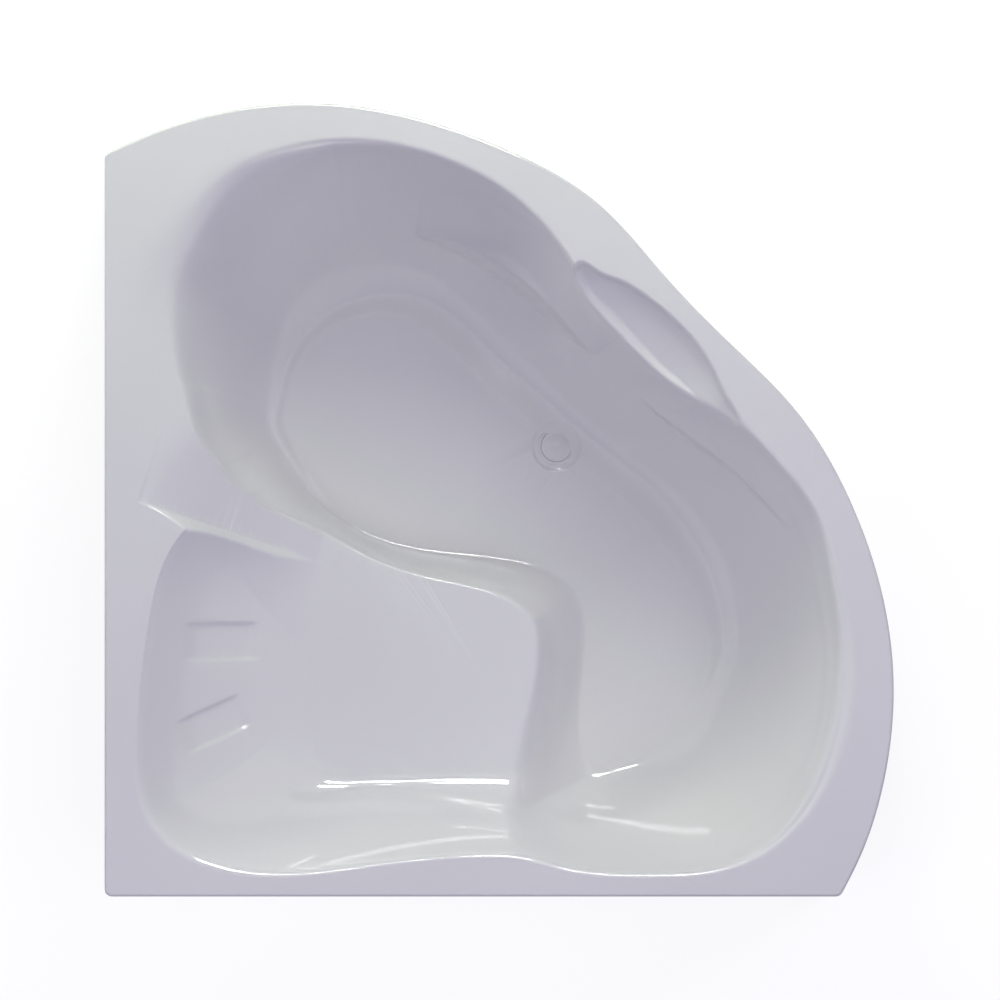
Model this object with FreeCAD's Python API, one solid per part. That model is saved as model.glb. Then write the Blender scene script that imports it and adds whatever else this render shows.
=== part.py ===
import FreeCAD, Part
import math
import os
from FreeCAD import Vector

# Corner bath with a reclining bowl, a corner seat, a front shelf and a wavy front. Sizes are in mm.
# Plan places are measured from the corner of the room: a runs along the bottom wall, b along the
# left wall, and z is up from the floor. The parts are written about the middle of the plan.

# --- Overall sizes ---------------------------------------------------------------------------
bath_length = 1492.0        # a, from the left wall to the crest of the lower bulge
bath_width = 1500.0         # b, from the bottom wall to the crest of the upper bulge
rim_height = 620.0          # floor to the top of the deck
bowl_depth = 430.0          # deck to the floor of the bowl
seat_depth = 220.0          # deck to the seat
shelf_depth = 55.0          # deck to the shelf

# --- Shell -----------------------------------------------------------------------------------
shell_wall = 6.0            # acrylic sheet with its laminate
skirt_height = 40.0         # down-turned edge of the deck
rim_edge_radius = 5.0
mouth_roll = 14.0           # radius of the rolled edge between deck and bowl
rim_tip_radius = 14.0       # plan radius of the deck's three corners
shelf_taper = 10.0          # how far the shelf's wall leans in
form_depth = 8.0            # how far flutes and armrests are pressed into a wall
chords_per_rib = 3          # straight lengths of a level between two ribs

# --- Drain -----------------------------------------------------------------------------------
drain_place = (855.0, 852.0)
tail_radius = 24.0
tail_wall = 4.0
tail_length = 36.0          # below the shell's floor
hole_gap = 2.0              # between the tail and its hole in the shell
flange_seat = 9.0           # flange beyond the hole
flange_thickness = 3.0
dish_margin = 10.5          # dish beyond the flange
dish_depth = 3.0
dish_lean = 2.0
gasket_thickness = 3.0
back_nut_flat = 6.0         # tail to the nut's flats
back_nut_height = 10.0
guide_height = 12.0
guide_width = 16.0
spoke_width = 4.0
thread_gap = 0.3            # radial, of what is screwed together

# --- Plug ------------------------------------------------------------------------------------
plug_margin = 6.0           # flange beyond the plug
plug_thickness = 4.0
plug_lift = 9.0
plug_stem_width = 8.0
plug_stop_width = 12.0
plug_stop_height = 3.0
dimple_radius = 6.0
dimple_depth = 1.2
running_gap = 0.05          # radial, of what slides
rest_gap = 0.1              # under a piece that lands on another

# --- Trap ------------------------------------------------------------------------------------
collar_height = 4.0
trap_neck_step = 3.0        # neck inside the tail
trap_neck_wall = 3.0
trap_margin = 21.0          # bowl of the trap beyond the tail
neck_length = 16.0          # below the tail's end
shoulder_height = 10.0
trap_height = 84.0          # tail's end to the trap's bottom
bore_depth = 38.0           # below the tail's end
union_flat = 7.0            # tail to the union's flats
union_height = 18.0
union_lip = 4.0
cap_width = 68.0            # across the flats
cap_height = 10.0
outlet_drop = 50.0          # tail's end to the middle of the outlet
outlet_radius = 20.0        # pipe of 40 mm
outlet_wall = 3.0
outlet_length = 85.0        # from the trap's bowl
outlet_collar_width = 46.0  # across the flats
outlet_collar_length = 13.0

# --- Base board and frame ----------------------------------------------------------------------
board_thickness = 16.0
board_margin = 10.0         # board's edge inside the foot of the bowl
board_hole_gap = 4.5        # round the dish
tube_width = 30.0
tube_wall = 2.0
post_width = 25.0
post_wall = 1.5
hub_place = (687.0, 710.0)
hub_width = 90.0            # across the flats of its eight sides
hub_wall = 4.0
top_plate_width = 30.0
top_plate_thickness = 4.0
block_length = 60.0
block_width = 30.0
block_height = 16.0

# Places of the posts, and the way the rim runs there in degrees.
SUPPORTS = {"left": ((45, 1370), 23), "front_left": ((908, 1262), -30), "front_right": ((1331, 812), -59),
            "right": ((1330, 50), 0), "corner": ((45, 45), 0)}

# --- Feet ------------------------------------------------------------------------------------
foot_inset = 60.0           # from the post along its arm
pad_width = 50.0            # across the flats
pad_height = 12.0
stud_radius = 5.9
stud_gap = 4.0              # between the stud's end and the top of its arm
foot_nut_height = 12.0

# --- Panel and wall hooks ----------------------------------------------------------------------
panel_inset = 12.0
panel_thickness = 4.0
panel_bottom = 10.0
hook_width = 40.0
hook_thickness = 2.0
hook_drop = 86.0            # below the skirt
hook_gap = 1.0              # under the skirt
hook_grip = 24.0            # how far the hook reaches up behind the skirt
hook_hole_radius = 2.5
hook_hole_height = 42.0     # above the hook's lower end
hook_places = (400.0, 1000.0)

# --- Plan, drawn for a bath of drawn_length by drawn_width and stretched with it ---------------
drawn_length = 1492.0
drawn_width = 1500.0

# The wavy front, from the end at the left wall to the end at the bottom wall.
WAVE = [(0, 1404), (105, 1449), (218, 1482), (388, 1500), (559, 1479), (748, 1417), (937, 1307),
        (1050, 1184), (1164, 1064), (1315, 909), (1409, 750), (1475, 551), (1492, 391),
        (1475, 224), (1426, 69), (1391, 0)]
WAVE_CRESTS = {3: (1, 0), 12: (0, -1)}      # where the front runs parallel to a wall

# Ribs of the bowl, each from the mouth to the foot of the wall, clockwise from the left.
BOWL_RIBS = [
    ((65, 1043), (319, 929)), ((135, 1279), (370, 1062)), ((341, 1413), (494, 1139)),
    ((587, 1411), (619, 1128)), ((795, 1304), (729, 1039)), ((929, 1132), (846, 935)),
    ((1097, 967), (978, 825)), ((1277, 814), (1103, 699)), ((1381, 602), (1173, 532)),
    ((1390, 324), (1137, 375)), ((1258, 96), (1041, 281)), ((1022, 43), (959, 247)),
    ((778, 192), (910, 268)), ((763, 519), (895, 576)), ((494, 623), (517, 678)),
    ((332, 687), (392, 759)), ((143, 769), (324, 873))]

# Ribs of the seat. Those from (1031, 466) to (710, 769) stand in the open bowl.
SEAT_RIBS = [
    ((175, 704), (411, 659)), ((86, 523), (396, 476)), ((63, 258), (404, 277)),
    ((162, 79), (487, 241)), ((388, 47), (606, 239)), ((683, 79), (740, 237)),
    ((937, 64), (937, 230)), ((1031, 466), (1012, 466)), ((937, 674), (922, 659)),
    ((710, 769), (710, 721)), ((332, 759), (436, 721))]

# Edge of the shelf. The last four places stand in the open bowl.
SHELF_EDGE = [
    (899, 1198), (975, 1164), (1050, 1115), (1126, 1037), (1179, 939), (1199, 893), (1107, 892),
    (1031, 929), (908, 1081)]

# Flutes in the seat's back, each from one end to the other, with its width.
FLUTES = [((146, 483), (290, 483), 66), ((146, 315), (272, 375), 60)]

# Armrests: crescents pressed into the wall of the bowl, clockwise.
BOWL_ARMRESTS = [
    [(587, 1256), (653, 1243), (729, 1213), (804, 1158), (880, 1083), (920, 1030), (861, 1054),
     (785, 1126), (710, 1186), (634, 1230)],
    [(1012, 946), (1088, 888), (1164, 834), (1249, 754), (1298, 694), (1242, 742), (1156, 821), (1082, 874)]]

# The armrest beside the seat, in its wall along the bottom wall of the room.
SEAT_ARMREST = [(317, 190), (430, 194), (560, 186), (748, 157), (850, 128), (700, 143), (560, 148), (420, 160)]

# --- Derived sizes round the drain ---------------------------------------------------------------
tail_bore_radius = tail_radius - tail_wall
drain_hole_radius = tail_radius + hole_gap
flange_radius = drain_hole_radius + flange_seat
plug_radius = flange_radius - plug_margin
dish_radius = flange_radius + dish_margin
board_hole_radius = dish_radius + shell_wall + board_hole_gap
back_nut_width = 2 * (tail_radius + back_nut_flat)
union_width = 2 * (tail_radius + union_flat)
trap_neck_radius = tail_radius - trap_neck_step
trap_bore_radius = trap_neck_radius - trap_neck_wall
trap_radius = tail_radius + trap_margin
outlet_reach = trap_radius + outlet_length
outlet_collar_reach = trap_radius + outlet_collar_length
foot_nut_width = tube_width

# --- Derived heights ---------------------------------------------------------------------------
deck_underside = rim_height - shell_wall
skirt_bottom = rim_height - skirt_height
bowl_floor = rim_height - bowl_depth
floor_underside = bowl_floor - shell_wall
board_bottom = floor_underside - board_thickness
arm_bottom = board_bottom - tube_width
block_bottom = deck_underside - block_height
post_top = block_bottom - top_plate_thickness
dish_bottom = bowl_floor - dish_depth
dish_underside = floor_underside - dish_depth
flange_top = dish_bottom + flange_thickness
back_nut_top = dish_underside - gasket_thickness
stud_top = board_bottom - tube_wall - stud_gap
hook_bottom = skirt_bottom - hook_drop
tail_bottom = floor_underside - tail_length
trap_top = tail_bottom - neck_length
trap_shoulder = trap_top - shoulder_height
trap_bottom = tail_bottom - trap_height
trap_bore_bottom = tail_bottom - bore_depth
outlet_height = tail_bottom - outlet_drop


# --- Plan geometry -----------------------------------------------------------------------------
def plan(place):
    """A drawn plan place at the bath's own length and width."""
    return (place[0] * bath_length / drawn_length, place[1] * bath_width / drawn_width)


def unit(da, db):
    size = math.hypot(da, db)
    return (da / size, db / size)


def stepped(point, way, distance):
    return (point[0] + way[0] * distance, point[1] + way[1] * distance)


def way_between(start, end):
    return unit(end[0] - start[0], end[1] - start[1])


def inward(way):
    """The way to the right of a clockwise outline, which points inside."""
    return (way[1], -way[0])


def raised(point, z):
    return Vector(point[0], point[1], z)


# --- Outline of the deck -------------------------------------------------------------------------
# An outline is a list of bends (start, start_way, end, end_way), each a straight line or an arc.
def double_bend(start, start_way, end, end_way):
    """Two arcs that leave start along start_way and reach end along end_way."""
    chord = (end[0] - start[0], end[1] - start[1])
    ways = (start_way[0] + end_way[0], start_way[1] + end_way[1])
    square = 2 * (1 - start_way[0] * end_way[0] - start_way[1] * end_way[1])
    linear = 2 * (chord[0] * ways[0] + chord[1] * ways[1])
    constant = -(chord[0] ** 2 + chord[1] ** 2)
    if abs(square) < 1e-9:
        reach = -constant / linear
    else:
        reach = (-linear + math.sqrt(linear ** 2 - 4 * square * constant)) / (2 * square)
    first = stepped(start, start_way, reach)
    last = stepped(end, end_way, -reach)
    joint = ((first[0] + last[0]) / 2, (first[1] + last[1]) / 2)
    joint_way = way_between(first, last)
    return [(start, start_way, joint, joint_way), (joint, joint_way, end, end_way)]


def corner_bend(corner, way_in, way_out, radius):
    """The arc that rounds a corner between two straight ways."""
    turn = math.acos(way_in[0] * way_out[0] + way_in[1] * way_out[1])
    reach = radius * math.tan(turn / 2)
    return (stepped(corner, way_in, -reach), way_in, stepped(corner, way_out, reach), way_out)


def outline_bends():
    """The deck's outline: left wall, tip, wavy front, tip, bottom wall and room corner."""
    front = [plan(p) for p in WAVE]
    first_way = way_between(front[0], front[1])
    last_way = way_between(front[-2], front[-1])
    left_tip = corner_bend(front[0], (0, 1), first_way, rim_tip_radius)
    right_tip = corner_bend(front[-1], last_way, (-1, 0), rim_tip_radius)
    room = corner_bend((0, 0), (-1, 0), (0, 1), rim_tip_radius)
    places = [left_tip[2]] + front[1:-1] + [right_tip[0]]
    ways = [first_way]
    for index in range(1, len(places) - 1):
        along = way_between(front[index - 1], front[index + 1])
        ways.append(WAVE_CRESTS.get(index, along))
    ways.append(last_way)
    wave = []
    for index in range(len(places) - 1):
        wave += double_bend(places[index], ways[index], places[index + 1], ways[index + 1])
    left = (room[2], (0, 1), left_tip[0], (0, 1))
    bottom = (right_tip[2], (-1, 0), room[0], (-1, 0))
    return [left, left_tip], wave, [right_tip, bottom, room]


def bend_edge(bend, inset, z):
    """The edge of one bend moved inwards by inset, so that its arcs stay concentric."""
    start = stepped(bend[0], inward(bend[1]), inset)
    end = stepped(bend[2], inward(bend[3]), inset)
    chord = (end[0] - start[0], end[1] - start[1])
    turn_part = bend[1][0] * chord[1] - bend[1][1] * chord[0]
    ahead_part = bend[1][0] * chord[0] + bend[1][1] * chord[1]
    half_turn = math.atan2(turn_part, ahead_part)
    if abs(half_turn) < 1e-4:
        return Part.LineSegment(raised(start, z), raised(end, z)).toShape()
    middle = ((start[0] + end[0]) / 2, (start[1] + end[1]) / 2)
    sag = math.hypot(*chord) / 2 * math.tan(half_turn / 2)
    crown = stepped(middle, inward(unit(*chord)), sag)
    return Part.Arc(raised(start, z), raised(crown, z), raised(end, z)).toShape()


def rim_outline(inset, z):
    start, wave, finish = outline_bends()
    return Part.Wire([bend_edge(bend, inset, z) for bend in start + wave + finish])


def slab(inset, low, high):
    return Part.Face(rim_outline(inset, low)).extrude(Vector(0, 0, high - low))


def deck():
    """The deck with its rounded edge and its skirt, open below."""
    levels = []
    for angle in (0, 45, 90):
        step = rim_edge_radius * (1 - math.cos(math.radians(angle)))
        rise = rim_edge_radius * math.sin(math.radians(angle))
        levels.append(rim_outline(step, rim_height - rim_edge_radius + rise))
    body = slab(0, skirt_bottom, rim_height - rim_edge_radius)
    body = body.fuse(Part.makeLoft(levels, True, True))
    return body.cut(slab(shell_wall, skirt_bottom, deck_underside))


# --- Bowl, seat and shelf ------------------------------------------------------------------------
def grown(points, distance):
    """A clockwise closed outline moved outwards by a distance."""
    moved = []
    count = len(points)
    for index, point in enumerate(points):
        way = way_between(points[index - 1], points[(index + 1) % count])
        moved.append(stepped(point, inward(way), -distance))
    return moved


def level(points, z):
    """Places round one level of a recess, on a smooth closed curve through its ribs."""
    curve = Part.BSplineCurve()
    curve.interpolate(Points=[raised(p, z) for p in points], PeriodicFlag=True,
                      Parameters=[float(i) for i in range(len(points) + 1)])
    steps = len(points) * chords_per_rib
    return [curve.value(step / chords_per_rib) for step in range(steps)]


def closed(places):
    return Part.makePolygon(places + [places[0]])


def recess_levels(mouth, foot, depth, bands, growth):
    """Levels of a recess from its rolled mouth to its foot: steep below the mouth, then flatter."""
    top = rim_height - growth
    levels = []
    roll_angles = (90,) if growth else (90, 60, 30)     # below, the laminate fills the roll
    for angle in roll_angles:
        out = mouth_roll * (1 - math.cos(math.radians(angle)))
        drop = mouth_roll * (1 - math.sin(math.radians(angle)))
        levels.append(level(grown(mouth, out + growth), top - drop))
    for band in range(bands + 1):
        angle = math.pi / 2 * band / bands
        depth_share = math.sin(angle)
        share = (depth_share + 1 - math.cos(angle)) / 2
        points = [stepped(m, (f[0] - m[0], f[1] - m[1]), share) for m, f in zip(mouth, foot)]
        levels.append(level(grown(points, growth), top - mouth_roll - depth_share * (depth - mouth_roll)))
    return levels


def recess(mouth, foot, depth, bands, growth):
    """The room of one recess, walled with flat facets between the places of its levels."""
    levels = recess_levels(mouth, foot, depth, bands, growth)
    faces = [Part.Face(closed(levels[0])), Part.Face(closed(levels[-1]))]
    for upper, lower in zip(levels, levels[1:]):
        for here in range(len(upper)):
            there = (here + 1) % len(upper)
            faces.append(Part.Face(closed([upper[here], upper[there], lower[here]])))
            faces.append(Part.Face(closed([upper[there], lower[there], lower[here]])))
    return Part.Solid(Part.Shell(faces))


def hollow(growth):
    """The room of bowl, seat and shelf together, grown for the outside of the shell."""
    edge = [plan(p) for p in SHELF_EDGE]
    bowl = recess([plan(m) for m, f in BOWL_RIBS], [plan(f) for m, f in BOWL_RIBS], bowl_depth, 4, growth)
    seat = recess([plan(m) for m, f in SEAT_RIBS], [plan(f) for m, f in SEAT_RIBS], seat_depth, 4, growth)
    shelf = recess(edge, grown(edge, -shelf_taper), shelf_depth, 1, growth)
    room = bowl.fuse(seat).fuse(shelf)
    for form in moulded_forms(growth):
        room = room.fuse(form)
    return room


def flute_outline(start, end, width):
    """A slot with cut corners between two places, clockwise."""
    along = way_between(start, end)
    side = inward(along)
    outline = []
    for place, way in ((start, -1), (end, 1)):
        near = stepped(place, along, -way * width / 4)
        for point, share in ((near, -way / 2), (place, -way / 4), (place, way / 4), (near, way / 2)):
            outline.append(stepped(point, side, share * width))
    return outline


def pressed(ribs, depth, outline, growth):
    """The room of a shallow form: its plan outline, pressed into the wall that the ribs give."""
    mouth = [plan(m) for m, f in ribs]
    foot = [plan(f) for m, f in ribs]
    deeper = recess(mouth, foot, depth, 4, growth + form_depth)
    edge = grown([plan(p) for p in outline], growth)
    column = Part.Face(closed([raised(p, bowl_floor) for p in edge])).extrude(Vector(0, 0, bowl_depth))
    return deeper.common(column)


def moulded_forms(growth):
    """Flutes and armrests in the walls of bowl and seat."""
    forms = [pressed(SEAT_RIBS, seat_depth, flute_outline(*flute), growth) for flute in FLUTES]
    forms.append(pressed(SEAT_RIBS, seat_depth, SEAT_ARMREST, growth))
    forms += [pressed(BOWL_RIBS, bowl_depth, armrest, growth) for armrest in BOWL_ARMRESTS]
    return forms


def drain_centre(z):
    return raised(plan(drain_place), z)


def round_bar(radius, low, high):
    """A cylinder on the axis of the drain."""
    return Part.makeCylinder(radius, high - low, drain_centre(low))


def bath_shell():
    outside = hollow(shell_wall)
    outside = outside.fuse(round_bar(dish_radius + shell_wall, dish_underside, bowl_floor))
    dish = Part.makeCone(dish_radius - dish_lean, dish_radius, dish_depth, drain_centre(dish_bottom))
    shell = deck().fuse(outside).cut(hollow(0))
    shell = shell.cut(dish)
    return shell.cut(round_bar(drain_hole_radius, dish_underside, dish_bottom))


# --- Waste, plug and trap --------------------------------------------------------------------------
def turned(profile):
    """A solid turned about the axis of the drain from a profile of (radius, z)."""
    centre = drain_centre(0)
    points = [Vector(centre.x + r, centre.y, z) for r, z in profile]
    return Part.Face(closed(points)).revolve(centre, Vector(0, 0, 1), 360)


def prism(sides, width, low, high, centre):
    """An upright bar with equal sides, its width measured across the flats."""
    corner = width / 2 / math.cos(math.pi / sides)
    places = []
    for index in range(sides):
        angle = 2 * math.pi * index / sides
        places.append(centre + Vector(corner * math.cos(angle), corner * math.sin(angle), low))
    return Part.Face(closed(places)).extrude(Vector(0, 0, high - low))


def block(length, width, low, high, centre):
    """An upright box about a centre."""
    corner = centre + Vector(-length / 2, -width / 2, low)
    return Part.makeBox(length, width, high - low, corner)


def waste_flange():
    """Flange and threaded tail in one piece, with a guide on four spokes for the plug's stem."""
    axis = drain_centre(0)
    body = turned([(tail_bore_radius, tail_bottom), (tail_radius, tail_bottom), (tail_radius, dish_bottom),
                   (flange_radius, dish_bottom), (flange_radius, flange_top), (tail_bore_radius, flange_top)])
    low = tail_bottom + plug_stop_height + plug_lift
    high = low + guide_height
    guide = block(guide_width, guide_width, low, high, axis)
    guide = guide.fuse(block(2 * tail_bore_radius + 1, spoke_width, low, high, axis))
    guide = guide.fuse(block(spoke_width, 2 * tail_bore_radius + 1, low, high, axis))
    bore_width = plug_stem_width + 2 * running_gap
    return body.fuse(guide).cut(block(bore_width, bore_width, low, high, axis))


def waste_gasket():
    """Thick gasket between the shell and the back nut."""
    ring = prism(24, back_nut_width, back_nut_top, dish_underside, drain_centre(0))
    return ring.cut(round_bar(tail_radius + thread_gap, back_nut_top, dish_underside))


def back_nut():
    low = back_nut_top - back_nut_height
    bar = prism(6, back_nut_width, low, back_nut_top, drain_centre(0))
    return bar.cut(round_bar(tail_radius + thread_gap, low, back_nut_top))


def plug():
    """Lifting plug with a square stem, and the stop that keeps it in its guide."""
    low = flange_top + rest_gap
    top = low + plug_thickness
    disc = turned([(0, low), (plug_radius, low), (plug_radius, top - 1.5), (plug_radius - 1.5, top),
                   (dimple_radius, top), (0, top - dimple_depth)])
    axis = drain_centre(0)
    stem = block(plug_stem_width, plug_stem_width, tail_bottom, low, axis)
    stop_top = tail_bottom + plug_stop_height - rest_gap
    return disc.fuse(stem).fuse(block(plug_stop_width, plug_stop_width, tail_bottom, stop_top, axis))


def trap_body():
    """Trap bowl with its neck and collar, and an outlet that is open at its end."""
    collar_low = tail_bottom - collar_height
    bowl = turned([(0, trap_bottom), (trap_radius, trap_bottom), (trap_radius, trap_shoulder),
                   (trap_neck_radius, trap_top), (trap_neck_radius, collar_low), (tail_radius, collar_low),
                   (tail_radius, tail_bottom), (0, tail_bottom)])
    start = drain_centre(outlet_height)
    outlet = Part.makeCylinder(outlet_radius, outlet_reach, start, Vector(0, -1, 0))
    collar = prism(8, outlet_collar_width, 0, outlet_collar_reach, Vector(0, 0, 0))
    collar.rotate(Vector(0, 0, 0), Vector(1, 0, 0), 90)
    collar.translate(start)
    outlet = outlet.fuse(collar)
    mouth = start + Vector(0, -trap_radius - outlet_wall, 0)
    bore = Part.makeCylinder(outlet_radius - outlet_wall, outlet_reach, mouth, Vector(0, -1, 0))
    inlet = round_bar(trap_bore_radius, trap_bore_bottom, tail_bottom)
    return bowl.fuse(outlet).cut(bore).cut(inlet)


def trap_union():
    """Nut that holds the trap's collar up against the tail."""
    collar_low = tail_bottom - collar_height
    low = collar_low - union_lip
    nut = prism(6, union_width, low, low + union_height, drain_centre(0))
    nut = nut.cut(round_bar(trap_neck_radius + thread_gap, low, collar_low))
    return nut.cut(round_bar(tail_radius + thread_gap, collar_low, low + union_height))


def trap_cap():
    """Cleaning cap under the trap, twelve-sided for the hand."""
    return prism(12, cap_width, trap_bottom - cap_height, trap_bottom, drain_centre(0))


# --- Base board and frame --------------------------------------------------------------------------
def base_board():
    """Board laminated under the floor, with a hole round the drain."""
    edge = grown([plan(f) for m, f in BOWL_RIBS], -board_margin)
    board = Part.Face(closed(level(edge, board_bottom)[::2])).extrude(Vector(0, 0, board_thickness))
    return board.cut(round_bar(board_hole_radius, board_bottom, floor_underside))


def channel(width, wall, length):
    """A steel channel along x, open below, its middle line on the x axis."""
    outer = Part.makeBox(length, width, width, Vector(0, -width / 2, -width / 2))
    inside = width - 2 * wall
    return outer.cut(Part.makeBox(length, inside, width - wall, Vector(0, -inside / 2, -width / 2)))


def post_tube():
    """A square tube that stands on the level of the arms and ends under its top plate."""
    centre = Vector(0, 0, 0)
    inside = post_width - 2 * post_wall
    tube = block(post_width, post_width, arm_bottom, post_top, centre)
    return tube.cut(block(inside, inside, arm_bottom, post_top, centre))


def hub_prism(width):
    return prism(8, width, arm_bottom, board_bottom, Vector(0, 0, 0))


def leg_length(name):
    """From the middle of the hub to the middle of the post."""
    post, hub = plan(SUPPORTS[name][0]), plan(hub_place)
    return math.hypot(post[0] - hub[0], post[1] - hub[1])


def arm_angle(name):
    post, hub = plan(SUPPORTS[name][0]), plan(hub_place)
    return math.degrees(math.atan2(post[1] - hub[1], post[0] - hub[0]))


def set_on_arm(shape, name):
    """Turns a shape drawn along x from the hub so that it lies along the arm of one support."""
    shape.rotate(Vector(0, 0, 0), Vector(0, 0, 1), arm_angle(name))
    shape.translate(raised(plan(hub_place), 0))
    return shape


def frame_leg(name):
    """An arm from the hub to a post, which carries the rim by its top plate."""
    length = leg_length(name)
    arm = channel(tube_width, tube_wall, length - post_width / 2)
    arm.translate(Vector(0, 0, arm_bottom + tube_width / 2))
    hub = hub_prism(hub_width)
    hub.rotate(Vector(0, 0, 0), Vector(0, 0, 1), -arm_angle(name))
    post = post_tube()
    plate = block(top_plate_width, top_plate_width, post_top, block_bottom, Vector(0, 0, 0))
    upright = post.fuse(plate)
    upright.translate(Vector(length, 0, 0))
    return set_on_arm(arm.cut(hub).fuse(upright), name)


def frame_hub():
    """Eight-sided ring in the middle of the frame."""
    ring = hub_prism(hub_width).cut(hub_prism(hub_width - 2 * hub_wall))
    ring.translate(raised(plan(hub_place), 0))
    return ring


def rim_blocks():
    """Wooden blocks glued under the deck where the posts carry it."""
    blocks = []
    for place, angle in SUPPORTS.values():
        wood = block(block_length, block_width, block_bottom, deck_underside, Vector(0, 0, 0))
        wood.rotate(Vector(0, 0, 0), Vector(0, 0, 1), angle)
        wood.translate(raised(plan(place), 0))
        blocks.append(wood)
    return Part.makeCompound(blocks)


# --- Feet ------------------------------------------------------------------------------------------
def foot(name):
    """A levelling foot: six-sided pad and stud in one piece."""
    pad = prism(6, pad_width, 0, pad_height, Vector(0, 0, 0))
    shape = pad.fuse(Part.makeCylinder(stud_radius, stud_top - pad_height, Vector(0, 0, pad_height)))
    shape.translate(Vector(leg_length(name) - foot_inset, 0, 0))
    return set_on_arm(shape, name)


def foot_nuts():
    """Nuts under the arms, in which the studs turn."""
    nuts = []
    for name in SUPPORTS:
        low = arm_bottom - foot_nut_height
        nut = prism(6, foot_nut_width, low, arm_bottom, Vector(0, 0, 0))
        nut = nut.cut(Part.makeCylinder(stud_radius + running_gap, foot_nut_height, Vector(0, 0, low)))
        nut.translate(Vector(leg_length(name) - foot_inset, 0, 0))
        nuts.append(set_on_arm(nut, name))
    return Part.makeCompound(nuts)


# --- Panel and wall hooks --------------------------------------------------------------------------
def front_panel():
    """Panel that follows the wavy front under the deck, from wall to wall."""
    wave = outline_bends()[1]
    outer = [bend_edge(bend, panel_inset, panel_bottom) for bend in wave]
    inner = [bend_edge(bend, panel_inset + panel_thickness, panel_bottom) for bend in wave]
    starts = [edges[0].firstVertex().Point for edges in (outer, inner)]
    ends = [edges[-1].lastVertex().Point for edges in (outer, inner)]
    sides = [Part.makeLine(*starts), Part.makeLine(*ends)]
    face = Part.Face(Part.Wire(Part.__sortEdges__(outer + inner + sides)))
    return face.extrude(Vector(0, 0, deck_underside - panel_bottom))


def wall_hook():
    """A hook on the left wall at b = 0: a leg with its screw's hole and a grip behind the skirt."""
    step_top = skirt_bottom - hook_gap
    step_low = step_top - hook_thickness
    grip_top = step_low + hook_grip
    back = shell_wall + hook_thickness
    profile = [(0, hook_bottom), (hook_thickness, hook_bottom), (hook_thickness, step_low), (back, step_low),
               (back, grip_top), (shell_wall, grip_top), (shell_wall, step_top), (0, step_top)]
    points = [Vector(a, -hook_width / 2, z) for a, z in profile]
    hook = Part.Face(closed(points)).extrude(Vector(0, hook_width, 0))
    place = Vector(0, 0, hook_bottom + hook_hole_height)
    return hook.cut(Part.makeCylinder(hook_hole_radius, hook_thickness, place, Vector(1, 0, 0)))


def wall_hooks():
    """Two hooks on each wall."""
    hooks = []
    for place in hook_places:
        left = wall_hook()
        left.translate(Vector(0, place * bath_width / drawn_width, 0))
        bottom = wall_hook()
        bottom.rotate(Vector(0, 0, 0), Vector(0, 0, 1), 90)
        bottom.translate(Vector(place * bath_length / drawn_length, 0, 0))
        hooks += [left, bottom]
    return Part.makeCompound(hooks)


# --- Writing the parts -----------------------------------------------------------------------------
def parts():
    nodes = {"bath_shell": bath_shell(), "base_board": base_board(), "rim_blocks": rim_blocks(),
             "frame_hub": frame_hub(), "foot_nuts": foot_nuts(), "front_panel": front_panel(),
             "wall_hooks": wall_hooks(), "waste_flange": waste_flange(), "waste_gasket": waste_gasket(),
             "back_nut": back_nut(), "plug": plug(), "trap_body": trap_body(), "trap_union": trap_union(),
             "trap_cap": trap_cap()}
    for name in SUPPORTS:
        nodes["frame_leg_" + name] = frame_leg(name)
        nodes["foot_" + name] = foot(name)
    return nodes


def write_parts():
    os.makedirs("parts", exist_ok=True)
    for name, shape in parts().items():
        shape.translate(Vector(-bath_length / 2, -bath_width / 2, 0))
        shape.exportStep("parts/" + name + ".step")


write_parts()
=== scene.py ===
import math

import bmesh
import bpy
import numpy as np
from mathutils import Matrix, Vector

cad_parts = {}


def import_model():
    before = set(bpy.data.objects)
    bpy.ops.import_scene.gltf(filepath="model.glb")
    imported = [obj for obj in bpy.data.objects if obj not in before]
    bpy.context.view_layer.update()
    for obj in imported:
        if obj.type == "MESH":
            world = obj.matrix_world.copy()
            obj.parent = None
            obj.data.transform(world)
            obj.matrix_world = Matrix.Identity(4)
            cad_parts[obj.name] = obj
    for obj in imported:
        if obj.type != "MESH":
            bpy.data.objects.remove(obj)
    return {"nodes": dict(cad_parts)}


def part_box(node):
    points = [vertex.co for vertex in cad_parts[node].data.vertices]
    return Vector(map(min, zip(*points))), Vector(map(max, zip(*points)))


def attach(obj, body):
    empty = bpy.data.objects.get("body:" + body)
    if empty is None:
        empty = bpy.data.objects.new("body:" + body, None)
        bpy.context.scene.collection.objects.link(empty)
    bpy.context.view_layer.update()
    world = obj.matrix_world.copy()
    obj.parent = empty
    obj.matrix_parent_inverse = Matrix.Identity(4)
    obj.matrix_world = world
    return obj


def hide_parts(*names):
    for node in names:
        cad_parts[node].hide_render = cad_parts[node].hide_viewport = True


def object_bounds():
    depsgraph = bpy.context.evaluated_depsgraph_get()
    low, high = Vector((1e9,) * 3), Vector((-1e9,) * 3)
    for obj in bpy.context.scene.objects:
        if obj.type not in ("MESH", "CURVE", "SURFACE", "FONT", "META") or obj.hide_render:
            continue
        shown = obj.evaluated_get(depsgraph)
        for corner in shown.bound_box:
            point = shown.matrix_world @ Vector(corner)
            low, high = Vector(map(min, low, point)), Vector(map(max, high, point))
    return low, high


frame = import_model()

# Corner bath seen from straight above. Plan places are in millimetres from the corner of the room,
# a along the bottom wall and b along the left wall, with z up from the floor.
MM = 0.001
cad_low, cad_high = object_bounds()
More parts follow.
